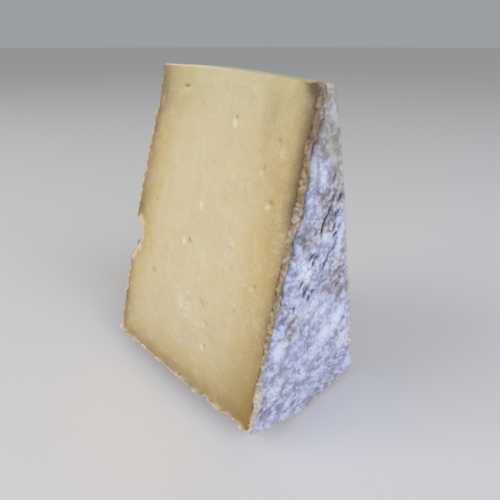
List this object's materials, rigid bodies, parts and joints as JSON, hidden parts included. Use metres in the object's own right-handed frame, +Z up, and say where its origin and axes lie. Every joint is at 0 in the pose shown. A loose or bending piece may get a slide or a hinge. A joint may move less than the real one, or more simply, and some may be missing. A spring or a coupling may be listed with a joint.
{
  "type": "cheese wedge",
  "caption": "Cut wedge of natural-rind Caerphilly cheese, standing on its curved rim with the tip of the wedge at the top.",
  "frame": {"origin": "middle of the box round the wedge at the height of the surface it stands on, on the small flat that its rim rests on", "axes": "+X along the axis of the wheel the wedge was cut from, out of the whiter flat rind side; -Y out of the front knife cut; +Z up, from the rim to the tip"},
  "size_m": [0.0916, 0.0669, 0.1277],
  "materials": {
    "cheese": null
  },
  "bodies": {
    "root": {"caerphilly_wedge": "cheese"}
  },
  "joints": []
}
